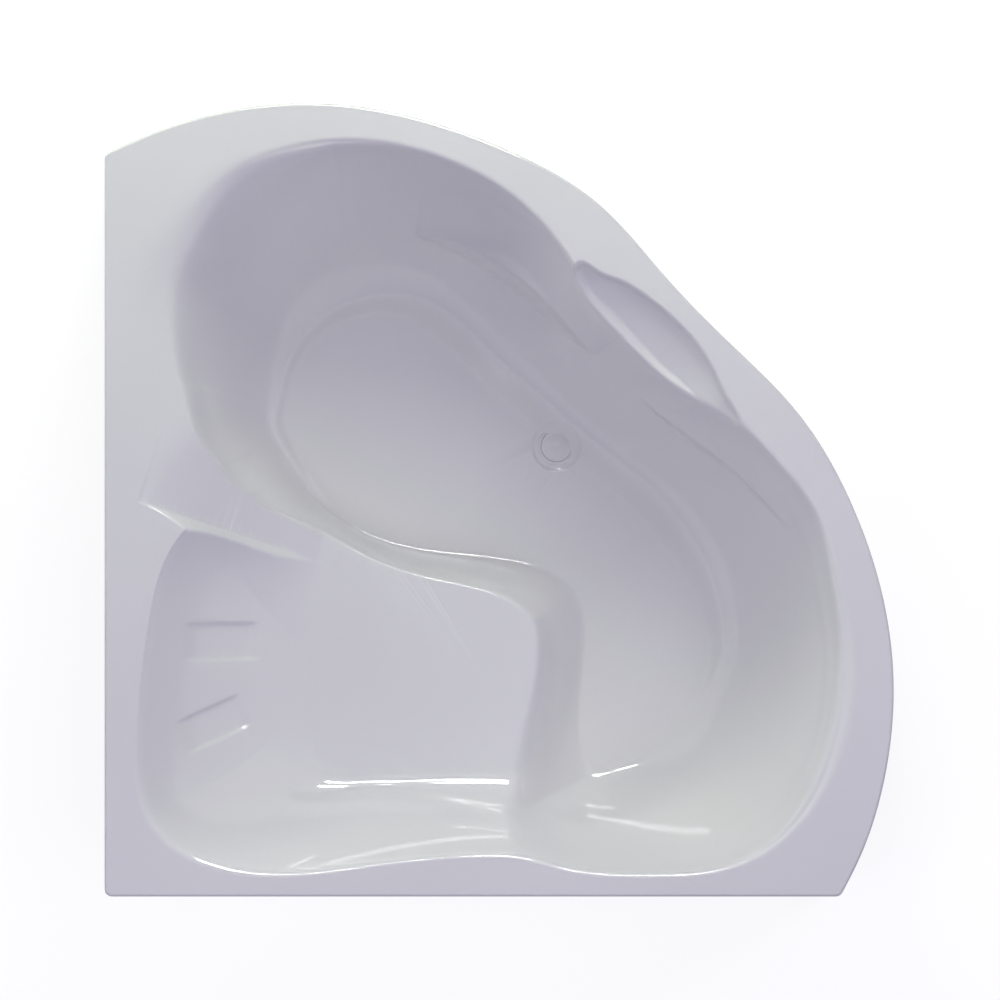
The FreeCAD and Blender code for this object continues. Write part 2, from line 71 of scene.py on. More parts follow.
room_a, room_b = cad_low.x / MM, cad_low.y / MM
bath_length = (cad_high.x - cad_low.x) / MM
bath_width = (cad_high.y - cad_low.y) / MM
deck_z = cad_high.z / MM
shell_wall = 6.0
board_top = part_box("base_board")[1].z / MM
floor_z = board_top + shell_wall
seat_z = deck_z - 220.0
plug_low, plug_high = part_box("plug")
drain_a = (plug_low.x + plug_high.x) / 2 / MM - room_a
drain_b = (plug_low.y + plug_high.y) / 2 / MM - room_b
dish_radius = 45.5
dish_depth = 3.0
drain_hole_radius = 26.0
rim_radius = 5.0
skirt_height = 40.0
tip_radius = 14.0
dish_roll = 4.0
hub_place = (687.0, 710.0)

# The height of the moulding is worked out on a grid of the coarse step, then doubled.
coarse_step = 5.0
grid_step = coarse_step / 2
snap_share = 0.72
skin_triangles = 188000
back_triangles = 70000

# The wavy front, from the left wall to the bottom wall, drawn for a bath of this size.
DRAWN_SIZE = np.array([1492.0, 1500.0])
WAVE = [(0, 1404), (105, 1449), (218, 1482), (388, 1500), (559, 1479), (748, 1417), (937, 1307),
        (1050, 1184), (1164, 1064), (1315, 909), (1409, 750), (1475, 551), (1492, 391),
        (1475, 224), (1426, 69), (1391, 0)]

# Ribs of the bowl, clockwise from the left: mouth, foot, height of the step at the foot, and the
# share of the wall that is a gentle lip.
BOWL_RIBS = [
    ((65, 1043), (319, 929), 14, 0.30), ((78, 1188), (337, 1003), 14, 0.26),
    ((135, 1279), (370, 1062), 18, 0.20), ((222, 1362), (426, 1113), 26, 0.10),
    ((341, 1413), (494, 1139), 34, 0.02), ((464, 1428), (559, 1145), 42, 0),
    ((587, 1411), (619, 1128), 50, 0), ((700, 1368), (676, 1090), 56, 0),
    ((795, 1304), (729, 1039), 60, 0), ((865, 1226), (785, 988), 60, 0),
    ((929, 1132), (846, 935), 58, 0), ((1009, 1043), (912, 878), 56, 0),
    ((1097, 967), (978, 825), 58, 0), ((1192, 901), (1044, 771), 60, 0),
    ((1277, 814), (1103, 699), 56, 0), ((1343, 727), (1148, 617), 44, 0),
    ((1381, 602), (1173, 532), 30, 0.02), ((1402, 466), (1173, 447), 18, 0.05),
    ((1390, 324), (1137, 375), 8, 0.05), ((1349, 202), (1088, 319), 2, 0.02),
    ((1258, 96), (1041, 281), 0, 0), ((1145, 50), (997, 260), 0, 0),
    ((1022, 43), (959, 247), 0, 0), ((890, 52), (925, 241), 0, 0),
    ((745, 135), (911, 266), 0, 0), ((768, 340), (905, 391), 0, 0),
    ((763, 519), (895, 576), 0, 0), ((625, 576), (663, 650), 0, 0),
    ((494, 623), (517, 678), 0, 0), ((417, 663), (441, 718), 0, 0.02),
    ((332, 687), (392, 759), 6, 0.10), ((247, 697), (356, 812), 10, 0.30),
    ((143, 769), (324, 868), 13, 0.38), ((92, 890), (314, 905), 14, 0.34)]
# The lip's slope, its roll at the deck and where the wall leaves it, and the wall's roll where there
# is no lip. Here and below, rolls grow near some places: (place, reach, growth).
lip_slope = 0.2
lip_edge_roll = 7.0
lip_roll = 60.0
wall_roll = 6.0
whole_lip = 0.12
LIP_GROWTH = [((190, 1300), 190, 110)]

# Ribs of the seat. Those from (1031, 107) to (521, 788) stand in the open bowl.
SEAT_RIBS = [
    ((175, 712), (411, 659)), ((118, 640), (400, 570)), ((86, 523), (396, 476)),
    ((69, 391), (396, 372)), ((63, 258), (404, 277)), ((86, 149), (436, 247)),
    ((162, 79), (487, 241)), ((266, 48), (543, 239)), ((388, 47), (606, 239)),
    ((530, 65), (668, 239)), ((683, 79), (740, 237)), ((823, 73), (833, 234)),
    ((937, 58), (937, 230)), ((1031, 107), (1022, 249)), ((1031, 466), (1012, 466)),
    ((937, 674), (922, 659)), ((710, 769), (710, 721)), ((521, 788), (530, 740)),
    ((332, 759), (436, 721))]

# The ridge between the bowl's lip and the seat falls from the deck to the seat, from one place to
# another. It starts to fall a lead before the first, and ends a little above the seat.
RIDGE = ((118, 792), (430, 686))
ridge_lead = 35.0
ridge_stretch = 16.0
ridge_above_seat = 12.0
ridge_bulge = 60.0
ridge_roll = 12.0
ridge_middle, ridge_reach = (235, 760), 235.0

# Edge of the shelf. From (1164, 863) on it stands in the open bowl. The shelf's wall is steep, and
# its ground lies a step below the deck and tilts on down.
SHELF_EDGE = [
    (899, 1198), (937, 1179), (975, 1164), (1012, 1143), (1050, 1115), (1088, 1081), (1126, 1037),
    (1154, 992), (1179, 939), (1199, 893), (1164, 863), (1107, 892), (1031, 929), (959, 995),
    (908, 1081), (884, 1156)]

shelf_wall_slope = 4.5
shelf_step = 22.0
shelf_tilt = 0.5
shelf_cove = 10.0

# Armrests in the wall of the bowl: the line they fall from, the width of their fall, its height,
# and the width of the flatter wall above it.
ARMRESTS = [
    ([(587, 1254), (653, 1241), (729, 1211), (804, 1156), (880, 1081), (925, 1022)], 30, 82, 90),
    ([(1012, 944), (1088, 886), (1164, 832), (1249, 752), (1298, 692)], 12, 36, 56)]

# The ledge beside the seat: its crest, its width, the width of the drop behind it, and its rise.
LEDGE = [(317, 188), (380, 176), (470, 182), (560, 183), (652, 172), (748, 154), (833, 133),
         (905, 118)]
ledge_width = 34.0
ledge_drop = 24.0
ledge_rise = 11.0

# Flutes in the seat's back, each from one end to the other, with its width.
FLUTES = [((150, 481), (290, 483), 68), ((148, 300), (262, 352), 62)]
flute_depth = 7.0

# Rolls of the mouths of bowl and seat, and of the crest between them.
narrow_roll = 24.0
BROAD_ROLLS = [((1395, 420), 190, 24)]
crest_roll = 22.0
SOFT_CRESTS = [((800, 380), 130, 60), ((780, 190), 110, 90)]

# The right wall has a faint line inside its mouth.
MARK = ((1420, 420), 230)
mark_inside = 34.0
mark_width = 8.0
mark_rise = 2.5


# --- Plan curves ---------------------------------------------------------------------------------
class Curve:
    """A smooth curve through plan places, closed or open."""

    def __init__(self, places, is_closed=True):
        self.places = np.array(places, float)
        count = len(self.places)
        ends = np.roll(self.places, -1, 0) if is_closed else self.places[1:]
        starts = self.places if is_closed else self.places[:-1]
        self.spans = np.linalg.norm(ends - starts, axis=1)
        self.knots = np.concatenate([[0], np.cumsum(self.spans)])
        self.closed = is_closed
        slopes = (ends - starts) / self.spans[:, None]
        matrix = np.eye(count)
        right = np.zeros((count, 2))
        for here in range(count):
            if not is_closed and here in (0, count - 1):
                continue
            before, after = self.spans[here - 1], self.spans[here]
            matrix[here, here] = 2 * (before + after)
            matrix[here, here - 1] = before
            matrix[here, (here + 1) % count] = after
            right[here] = 6 * (slopes[here] - slopes[here - 1])
        self.bends = np.linalg.solve(matrix, right)
        x, y = self.places.T
        area = (x * np.roll(y, -1) - y * np.roll(x, -1)).sum()
        self.inner_side = -1.0 if is_closed and area > 0 else 1.0

    def at(self, t):
        """Places, ways and bends at lengths t along the curve."""
        total = self.knots[-1]
        t = np.mod(t, total) if self.closed else np.clip(t, 0, total)
        span = np.clip(np.searchsorted(self.knots, t, side="right") - 1, 0, len(self.spans) - 1)
        after = (span + 1) % len(self.places)
        size = self.spans[span][:, None]
        u = (t - self.knots[span])[:, None]
        v = size - u
        low, high = self.bends[span], self.bends[after]
        start = self.places[span] / size - low * size / 6
        end = self.places[after] / size - high * size / 6
        place = low * v ** 3 / (6 * size) + high * u ** 3 / (6 * size) + start * v + end * u
        way = -low * v ** 2 / (2 * size) + high * u ** 2 / (2 * size) - start + end
        return place, way, (low * v + high * u) / size

    def nearest(self, points):
        """For each point: how far it lies inside a closed curve or right of an open one, and where
        along the curve that is."""
        total = self.knots[-1]
        trial = np.linspace(0, total, 10 * len(self.spans), endpoint=not self.closed)
        samples = self.at(trial)[0]
        first = np.empty(len(points))
        batch = 20000
        for start in range(0, len(points), batch):
            part = points[start:start + batch]
            off_a = part[:, None, 0] - samples[None, :, 0]
            off_b = part[:, None, 1] - samples[None, :, 1]
            first[start:start + batch] = trial[(off_a ** 2 + off_b ** 2).argmin(1)]
        t = first
        reach = total / len(trial)
        for _ in range(5):
            place, way, bend = self.at(t)
            off = place - points
            size = (way ** 2).sum(1) + (off * bend).sum(1)
            size = np.maximum(size, 0.3 * (way ** 2).sum(1))
            t = t - np.clip((off * way).sum(1) / size, -reach, reach)
            t = np.clip(t, first - 1.5 * reach, first + 1.5 * reach)
        place, way, _ = self.at(t)
        way = way / np.linalg.norm(way, axis=1)[:, None]
        off = points - place
        return self.inner_side * (off[:, 0] * way[:, 1] - off[:, 1] * way[:, 0]), t

    def value_at(self, t, values):
        """Values given at a closed curve's own places, read between them."""
        return np.interp(np.mod(t, self.knots[-1]), self.knots, list(values) + [values[0]])


def eased(x):
    x = np.clip(x, 0, 1)
    return x * x * (3 - 2 * x)


def lower_of(x, y, roll):
    """The lower of two heights, with a rounded crest where they are less than a roll apart."""
    near = np.maximum(1 - np.abs(x - y) / roll, 0)
    return np.minimum(x, y) - roll * near ** 3 / 6


def hill(points, place, reach):
    off = points - place
    return np.exp(-(off ** 2).sum(1) / (2 * reach ** 2))


def grown(points, roll, growths):
    """A roll over the plan that grows near some places."""
    for place, reach, growth in growths:
        roll = roll + growth * hill(points, place, reach)
    return roll


# --- The outline of the deck ---------------------------------------------------------------------
def corner_arc(corner, way_in, way_out, radius):
    """Places round a corner between two straight ways, clockwise."""
    turn = math.acos(np.dot(way_in, way_out))
    reach = radius * math.tan(turn / 2)
    start = corner - way_in * reach
    centre = start + np.array([way_in[1], -way_in[0]]) * radius
    first = math.atan2(*(start - centre)[::-1])
    angles = first - np.linspace(0, turn, 13)
    return centre + radius * np.stack([np.cos(angles), np.sin(angles)], 1), reach


def outline_places():
    """The deck's outline, clockwise, and the way out of it at each place."""
    scale = np.array([bath_length, bath_width]) / DRAWN_SIZE
    wave = Curve(np.array(WAVE) * scale, False)
    along = np.linspace(0, wave.knots[-1], 260)
    places, ways, _ = wave.at(along)
    ways = ways / np.linalg.norm(ways, axis=1)[:, None]
    up, left = np.array([0.0, 1.0]), np.array([-1.0, 0.0])
    tip, tip_reach = corner_arc(places[0], up, ways[0], tip_radius)
    end, end_reach = corner_arc(places[-1], ways[-1], left, tip_radius)
    room, _ = corner_arc(np.zeros(2), left, up, tip_radius)
    keep = (along > tip_reach + 3) & (along < along[-1] - end_reach - 3)
    bottom = np.linspace(end[-1], room[0], 60)[1:-1]
    side = np.linspace(room[-1], tip[0], 60)[1:-1]
    front = np.minimum(places[keep], scale * DRAWN_SIZE)
    ring = np.concatenate([tip, front, end, bottom, room, side])
    chord = np.roll(ring, -1, 0) - np.roll(ring, 1, 0)
    chord /= np.linalg.norm(chord, axis=1)[:, None]
    return ring, np.stack([-chord[:, 1], chord[:, 0]], 1)


OUTLINE, OUTWARD = outline_places()


def nearest_edge(points, ring):
    """For each point: how far inside the ring it lies, the nearest place on the ring, and the way
    out there."""
    after = np.roll(ring, -1, 0)
    chord = after - ring
    square = (chord ** 2).sum(1)
    inside = np.empty(len(points))
    place = np.empty((len(points), 2))
    out = np.empty((len(points), 2))
    batch = 4000
    for start in range(0, len(points), batch):
        part = points[start:start + batch]
        off = part[:, None] - ring[None]
        share = np.clip((off * chord).sum(2) / square, 0, 1)
        gap = off - share[..., None] * chord
        best = (gap ** 2).sum(2).argmin(1)
        rows = np.arange(len(part))
        s = share[rows, best][:, None]
        near = ring[best] + s * chord[best]
        way = OUTWARD[best] * (1 - s) + np.roll(OUTWARD, -1, 0)[best] * s
        way /= np.linalg.norm(way, axis=1)[:, None]
        inside[start:start + batch] = -((part - near) * way).sum(1)
        place[start:start + batch] = near
        out[start:start + batch] = way
    return inside, place, out


# --- Height of the moulded surface ---------------------------------------------------------------
def wall_fall(share):
    """The share of its depth that a wall has fallen at a share of its way."""
    angle = np.linspace(0, math.pi / 2, 200)
    way = (np.sin(angle) + 1 - np.cos(angle)) / 2
    return np.where(share < 0, 2 * share, np.interp(share, way, np.sin(angle)))


def wall_share(mouth_inside, foot_inside):
    gap = np.maximum(mouth_inside - foot_inside, 15)
    return np.where(foot_inside > 0, 1, np.clip(mouth_inside / gap, -3, 1))


def beside_line(points, line, power):
    """How far right of a line each point lies, and a swell from 0 at its ends to 1 midway."""
    curve = Curve(line, False)
    right, t = curve.nearest(points)
    return right, np.sin(math.pi * np.clip(t / curve.knots[-1], 0, 1)) ** power


def armrest_lift(points, line, width, fall, above):
    """The wall is flatter above the line of an armrest and falls steeply below it."""
    right, middle = beside_line(points, line, 0.8)
    climb = np.clip(1 + right / above, 0, 1) ** 1.5
    return fall * middle * np.where(right < 0, climb, 1 - eased(right / (width * middle + 2)))


def ledge_lift(points):
    """The ledge beside the seat rises to its crest and drops behind it."""
    right, middle = beside_line(points, LEDGE, 0.7)
    climb = eased((ledge_width - right) / ledge_width) * (right > 0)
    drop = eased(1 + right / ledge_drop) * (right <= 0)
    return ledge_rise * middle * (climb + drop)


def ridge_height(points):
    """The lip's height beside the ridge; it leaves the rest of the bath alone."""
    start, end = np.array(RIDGE, float)
    length = np.linalg.norm(end - start)
    way = (end - start) / length
    off = points - start
    along = off @ way
    beside = off @ np.array([-way[1], way[0]])
    whole_fall = deck_z - seat_z - ridge_above_seat
    fall = whole_fall * eased((along + ridge_lead) / (length + ridge_stretch))
    away = np.linalg.norm(points - ridge_middle, axis=1)
    clear = np.maximum(-ridge_lead - along, 0) + 2 * np.maximum(-beside - ridge_bulge, 0)
    return deck_z - fall + clear + 3 * np.maximum(away - ridge_reach, 0)


def flute_press(points, start, end, width):
    """How deep a flute is pressed in: crisp along its sides, running out softly at its ends."""
    start, end = np.array(start, float), np.array(end, float)
    along = (end - start) / np.linalg.norm(end - start)
    off = points - (start + end) / 2
    beyond = np.abs(off @ along) - np.linalg.norm(end - start) / 2
    across = np.abs(off @ np.array([-along[1], along[0]])) - width / 2
    return flute_depth * eased(0.3 - beyond / 34) * eased(0.5 - across / 9)


def doubled(grid):
    """A grid of values with the values between them, read from a smooth curve through four."""
    for axis in (0, 1):
        grid = np.moveaxis(grid, axis, 0)
        padded = np.concatenate([2 * grid[:1] - grid[1:2], grid, 2 * grid[-1:] - grid[-2:-1]])
        between = (9 * (padded[1:-2] + padded[2:-1]) - padded[:-3] - padded[3:]) / 16
        made = np.empty((2 * len(grid) - 1,) + grid.shape[1:])
        made[0::2] = grid
        made[1::2] = between
        grid = np.moveaxis(made, 0, axis)
    return grid


def plan_grid(step):
    """Plan places every step over the whole deck. Finer grids end where the coarse one ends."""
    columns = math.ceil(bath_length / coarse_step) * round(coarse_step / step) + 1
    rows = math.ceil(bath_width / coarse_step) * round(coarse_step / step) + 1
    return np.meshgrid(np.arange(columns) * step, np.arange(rows) * step)


def distance_fields():
    """Plan distances on the coarse grid, doubled for the fine grid."""
    a, b = plan_grid(coarse_step)
    points = np.stack([a.ravel(), b.ravel()], 1)
    fields = {}
    curves = {"bowl_mouth": Curve([rib[0] for rib in BOWL_RIBS]),
              "bowl_foot": Curve([rib[1] for rib in BOWL_RIBS]),
              "seat_mouth": Curve([rib[0] for rib in SEAT_RIBS]),
              "seat_foot": Curve([rib[1] for rib in SEAT_RIBS]),
              "shelf": Curve(SHELF_EDGE)}
    for name, curve in curves.items():
        inside, t = curve.nearest(points)
        fields[name] = inside.reshape(a.shape)
        if name == "bowl_foot":
            fields["step"] = curve.value_at(t, [rib[2] for rib in BOWL_RIBS]).reshape(a.shape)
            fields["lip"] = curve.value_at(t, [rib[3] for rib in BOWL_RIBS]).reshape(a.shape)
    if grid_step < coarse_step:
        fields = {name: doubled(grid) for name, grid in fields.items()}
    return fields


def surface_height():
    """Height of the acrylic over the plan, on the fine grid."""
    fields = {name: grid.ravel() for name, grid in distance_fields().items()}
    a, b = plan_grid(grid_step)
    points = np.stack([a.ravel(), b.ravel()], 1)

    step, lip, mouth = fields["step"], fields["lip"], fields["bowl_mouth"]
    bowl_share = (wall_share(mouth, fields["bowl_foot"]) - lip) / (1 - lip)
    bowl = deck_z - (deck_z - floor_z - step) * wall_fall(bowl_share)
    for armrest in ARMRESTS:
        bowl += armrest_lift(points, *armrest)
    lipness = eased(lip / whole_lip)
    lip_z = deck_z - np.where(mouth > 0, lip_slope, 2 - (2 - lip_slope) * lipness) * mouth
    bowl = lower_of(bowl, lip_z, wall_roll + grown(points, lip_roll, LIP_GROWTH) * lipness)
    bowl = lower_of(bowl, ridge_height(points), ridge_roll)
    bowl -= step * eased(fields["bowl_foot"] / (14 + 0.8 * step))

    seat_share = wall_share(fields["seat_mouth"], fields["seat_foot"])
    seat = deck_z - (deck_z - seat_z) * wall_fall(seat_share)
    seat += ledge_lift(points)
    for flute in FLUTES:
        seat -= flute_press(points, *flute)

    shelf_inside = fields["shelf"]
    shelf = -lower_of(shelf_wall_slope * shelf_inside - deck_z,
                      shelf_step + shelf_tilt * shelf_inside - deck_z, shelf_cove)

    room = lower_of(bowl, seat, grown(points, crest_roll, SOFT_CRESTS))
    room = lower_of(room, shelf, 2 * crest_roll)
    roll = narrow_roll - (narrow_roll - lip_edge_roll) * lipness * (fields["seat_mouth"] < 0)
    height = lower_of(room, deck_z, grown(points, roll, BROAD_ROLLS))
    height += mark_rise * np.exp(-((mouth - mark_inside) / mark_width) ** 2) * hill(points, *MARK)

    radius = np.hypot(points[:, 0] - drain_a, points[:, 1] - drain_b)
    height = np.maximum(height, floor_z)
    height -= dish_depth * eased((dish_radius + dish_roll / 2 - radius) / dish_roll)
    height = np.minimum(height, deck_z)
    return height.reshape(a.shape)


HEIGHT = surface_height()


def read_grid(grid, points):
    """A grid's values at plan points, between its places."""
    rows, columns = grid.shape[:2]
    x = np.clip(points[:, 0] / grid_step, 0, columns - 1.001)
    y = np.clip(points[:, 1] / grid_step, 0, rows - 1.001)
    i, j = x.astype(int), y.astype(int)
    u, v = x - i, y - j
    if grid.ndim == 3:
        u, v = u[:, None], v[:, None]
    return ((grid[j, i] * (1 - u) + grid[j, i + 1] * u) * (1 - v)
            + (grid[j + 1, i] * (1 - u) + grid[j + 1, i + 1] * u) * v)


def surface_normals():
    down_b, down_a = np.gradient(HEIGHT, grid_step)
    normals = np.stack([-down_a, -down_b, np.ones_like(HEIGHT)], 2)
    return normals / np.linalg.norm(normals, axis=2)[..., None]


NORMALS = surface_normals()


# --- The shell's two skins -----------------------------------------------------------------------
def rough_inside(ring, shape):
    """How far the fine grid's places lie inside a ring, read between places 25 mm apart."""
    wide = 25.0
    rows, columns = int(bath_width / wide) + 3, int(bath_length / wide) + 3
    a, b = np.meshgrid(np.arange(columns) * wide, np.arange(rows) * wide)
    known = nearest_edge(np.stack([a.ravel(), b.ravel()], 1), ring)[0].reshape(a.shape)
    x = np.arange(shape[1]) * grid_step / wide
    y = np.arange(shape[0]) * grid_step / wide
    i, j = x.astype(int), y.astype(int)
    u, v = x - i, (y - j)[:, None]
    low = known[j][:, i] * (1 - u) + known[j][:, i + 1] * u
    high = known[j + 1][:, i] * (1 - u) + known[j + 1][:, i + 1] * u
    return (low * (1 - v) + high * v).ravel()


def snapped_cells(ring):
    """Plan triangles inside a ring and outside the drain's hole, with their edges on both."""
    a, b = plan_grid(grid_step)
    points = np.stack([a.ravel(), b.ravel()], 1)
    lattice = np.arange(len(points)).reshape(a.shape)
    inside = rough_inside(ring, a.shape)
    near_ring = 20.0
    near = np.abs(inside) < near_ring
    inside[near] = nearest_edge(points[near], ring)[0]
    radius = np.hypot(points[:, 0] - drain_a, points[:, 1] - drain_b)
    hole = radius - drain_hole_radius
    reach = snap_share * grid_step
    on_ring = np.abs(inside) < reach
    on_hole = np.abs(hole) < reach
    points[on_ring] = nearest_edge(points[on_ring], ring)[1]
    spokes = points[on_hole] - [drain_a, drain_b]
    spokes *= drain_hole_radius / np.linalg.norm(spokes, axis=1)[:, None]
    points[on_hole] = spokes + [drain_a, drain_b]
    outside = (inside < 0) & ~on_ring | (hole < 0) & ~on_hole
    edge = on_ring | on_hole
    q = [lattice[:-1, :-1], lattice[:-1, 1:], lattice[1:, 1:], lattice[1:, :-1]]
    q = np.stack([c.ravel() for c in q], 1)
    triangles = np.concatenate([q[:, [0, 1, 2]], q[:, [0, 2, 3]]])
    keep = ~outside[triangles].any(1) & ~edge[triangles].all(1)
    triangles = triangles[keep]
    used = np.unique(triangles)
    renumber = np.full(len(points), -1)
    renumber[used] = np.arange(len(used))
    return points[used], renumber[triangles]


def new_mesh(name, places, faces):
    mesh = bpy.data.meshes.new(name)
    mesh.from_pydata([tuple(p) for p in places], [], [tuple(int(i) for i in f) for f in faces])
    mesh.update()
    return mesh


def added(name, data):
    """A new object in the scene."""
    made = bpy.data.objects.new(name, data)
    bpy.context.scene.collection.objects.link(made)
    return made


def new_piece(name, mesh, body="bath"):
    piece = added(name, mesh)
    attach(piece, body)
    return piece


def thinned(name, places, faces, target):
    """The same surface with about the target count of triangles, most where it bends."""
    mesh = new_mesh(name, places, faces)
    if len(faces) > target:
        piece = added(name, mesh)
        thin = piece.modifiers.new("thin", "DECIMATE")
        thin.ratio = target / len(faces)
        thin.use_collapse_triangulate = True
        evaluated = piece.evaluated_get(bpy.context.evaluated_depsgraph_get())
        mesh = bpy.data.meshes.new_from_object(evaluated)
        bpy.data.objects.remove(piece)
    found = np.empty(3 * len(mesh.vertices))
    mesh.vertices.foreach_get("co", found)
    corners = np.empty(3 * len(mesh.polygons), int)
    mesh.polygons.foreach_get("vertices", corners)
    bpy.data.meshes.remove(mesh)
    return found.reshape(-1, 3), corners.reshape(-1, 3)


def edge_loops(faces):
    """The open edges of a triangle mesh, as pairs in the order of their faces."""
    pairs = np.concatenate([faces[:, [0, 1]], faces[:, [1, 2]], faces[:, [2, 0]]])
    seen = dict.fromkeys(tuple(pair) for pair in pairs.tolist())
    return [pair for pair in seen if pair[::-1] not in seen]


def world(places):
    return (np.asarray(places) + [room_a, room_b, 0]) * MM


def rim_profile():
    """The rim's section: outward step, height, and how far its normal leans out and up."""
    rows = []
    for angle in np.radians([15, 30, 45, 60, 75, 90]):
        rows.append((rim_radius * math.sin(angle), deck_z - rim_radius * (1 - math.cos(angle)),
                     math.sin(angle), math.cos(angle)))
    low = deck_z - skirt_height
    rows.append((rim_radius, low + 1.5, 1, 0))
    rows.append((rim_radius - 0.5, low + 0.4, 0.7, -0.7))
    rows.append((rim_radius - 1.5, low, 0, -1))
    rows.append((rim_radius - shell_wall + 1, low, 0, -1))
    rows.append((rim_radius - shell_wall, low + 1, -1, 0))
    rows.append((rim_radius - shell_wall, deck_z - shell_wall - 1, -1, 0))
    return rows


def acrylic_skin():
    """The white surface: the moulding, the rim all round it, and the edge of the drain's hole."""
    ring = OUTLINE - OUTWARD * rim_radius
    plan_places, faces = snapped_cells(ring)
    places = np.column_stack([plan_places, read_grid(HEIGHT, plan_places)])
    rim_share = 16000
    places, faces = thinned("skin", places, faces, skin_triangles - rim_share)
    edges = edge_loops(faces)
    border = sorted({i for pair in edges for i in pair})
    index = {v: n for n, v in enumerate(border)}
    flat = places[border, :2]
    near_hole = np.hypot(flat[:, 0] - drain_a, flat[:, 1] - drain_b) < 2 * drain_hole_radius
    _, on_ring, out = nearest_edge(flat, ring)
    spokes = flat - [drain_a, drain_b]
    spokes /= np.maximum(np.linalg.norm(spokes, axis=1)[:, None], 1)
    flat = np.where(near_hole[:, None], [drain_a, drain_b] + spokes * drain_hole_radius, on_ring)
    places[border, :2] = flat
    places[:, 2] = read_grid(HEIGHT, places[:, :2])
    normals = read_grid(NORMALS, places[:, :2])
    normals[np.array(border)[~near_hole]] = [0, 0, 1]

    made_places, made_normals, made_faces = [places], [normals], [faces]
    previous = np.array(border)
    total = len(places)
    for step, z, lean, rise in rim_profile():
        out_step = np.where(near_hole[:, None], 0, out * step)
        hole_z = floor_z - dish_depth - (deck_z - z) * shell_wall / skirt_height
        ring_z = np.where(near_hole, hole_z, z)
        made_places.append(np.column_stack([flat + out_step, ring_z]))
        side = np.where(near_hole[:, None], -spokes, out * lean)
        made_normals.append(np.column_stack([side, np.where(near_hole, 0, rise)]))
        here = total + np.arange(len(border))
        quads = []
        for start, end in edges:
            s, e = index[start], index[end]
            quads.append((previous[e], previous[s], here[s]))
            quads.append((previous[e], here[s], here[e]))
        made_faces.append(np.array(quads))
        previous = here
        total += len(border)
    return np.concatenate(made_places), np.concatenate(made_normals), np.concatenate(made_faces)


def shaded(mesh, normals):
    normals = normals / np.maximum(np.linalg.norm(normals, axis=1)[:, None], 1e-9)
    mesh.polygons.foreach_set("use_smooth", np.ones(len(mesh.polygons), bool))
    mesh.normals_split_custom_set_from_vertices([tuple(n) for n in normals])
    mesh.update()


def laminate_skin(places, normals, faces):
    """The rough glass fibre behind the acrylic, one wall away from it."""
    back = places - normals * shell_wall
    flat_deck = normals[:, 2] > 0.9999
    back[flat_deck, 2] = places[flat_deck, 2] - shell_wall
    return thinned("back", back, faces[:, ::-1], back_triangles)


def build_shell(acrylic, laminate):
    places, normals, faces = acrylic_skin()
    mesh = new_mesh("bath_acrylic", world(places), faces)
    shaded(mesh, normals)
    mesh.materials.append(acrylic)
    piece = new_piece("bath_acrylic", mesh)
    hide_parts("bath_shell")

    ring = OUTLINE - OUTWARD * (rim_radius + 0.5)
    plan_places, cells = snapped_cells(ring)
    top = np.column_stack([plan_places, read_grid(HEIGHT, plan_places)])
    back, back_faces = laminate_skin(top, read_grid(NORMALS, plan_places), cells)
    mesh = new_mesh("bath_laminate", world(back), back_faces)
    mesh.polygons.foreach_set("use_smooth", np.ones(len(mesh.polygons), bool))
    mesh.materials.append(laminate)
    piece = new_piece("bath_laminate", mesh)
    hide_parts("bath_shell")


# --- Materials -----------------------------------------------------------------------------------
class Finish:
    """A node material on the object's own coordinates, in metres."""

    def __init__(self, name, **sockets):
        self.material = bpy.data.materials.new(name)
        self.material.use_nodes = True
        self.tree = self.material.node_tree
        self.shader = self.tree.nodes["Principled BSDF"]
        self.place = self.tree.nodes.new("ShaderNodeTexCoord").outputs["Object"]
        for socket, value in sockets.items():
            self.shader.inputs[socket.replace("_", " ")].default_value = value

    def node(self, kind, links=(), **values):
        made = self.tree.nodes.new(kind)
        for socket, value in values.items():
            made.inputs[socket.replace("_", " ")].default_value = value
        for socket, source in links:
            self.tree.links.new(source, made.inputs[socket])
        return made

    def stretched(self, stretch):
        return self.node("ShaderNodeMapping", [("Vector", self.place)], Scale=stretch).outputs[0]

    def noise(self, scale, detail=3.0, stretch=(1, 1, 1)):
        links = [("Vector", self.stretched(stretch))]
        return self.node("ShaderNodeTexNoise", links, Scale=scale, Detail=detail).outputs["Fac"]

    def cells(self, scale, stretch=(1, 1, 1)):
        """How light each cell's random colour is."""
        links = [("Vector", self.stretched(stretch))]
        colour = self.node("ShaderNodeTexVoronoi", links, Scale=scale).outputs["Color"]
        return self.node("ShaderNodeRGBToBW", [("Color", colour)]).outputs["Val"]

    def colours(self, source, *stops):
        """Base colour from a source, by stops of (place, colour)."""
        made = self.node("ShaderNodeValToRGB", [("Fac", source)])
        ramp = made.color_ramp
        while len(ramp.elements) < len(stops):
            ramp.elements.new(0.5)
        for element, (place, colour) in zip(ramp.elements, stops):
            element.position = place
            element.color = (*colour, 1)
        self.tree.links.new(made.outputs["Color"], self.shader.inputs["Base Color"])

    def roughness(self, source, low, high):
        made = self.node("ShaderNodeMapRange", [("Value", source)], To_Min=low, To_Max=high)
        self.tree.links.new(made.outputs["Result"], self.shader.inputs["Roughness"])

    def bump(self, source, strength, distance):
        links = [("Height", source)]
        if self.shader.inputs["Normal"].links:
            links.append(("Normal", self.shader.inputs["Normal"].links[0].from_socket))
        made = self.node("ShaderNodeBump", links, Strength=strength, Distance=distance)
        self.tree.links.new(made.outputs["Normal"], self.shader.inputs["Normal"])


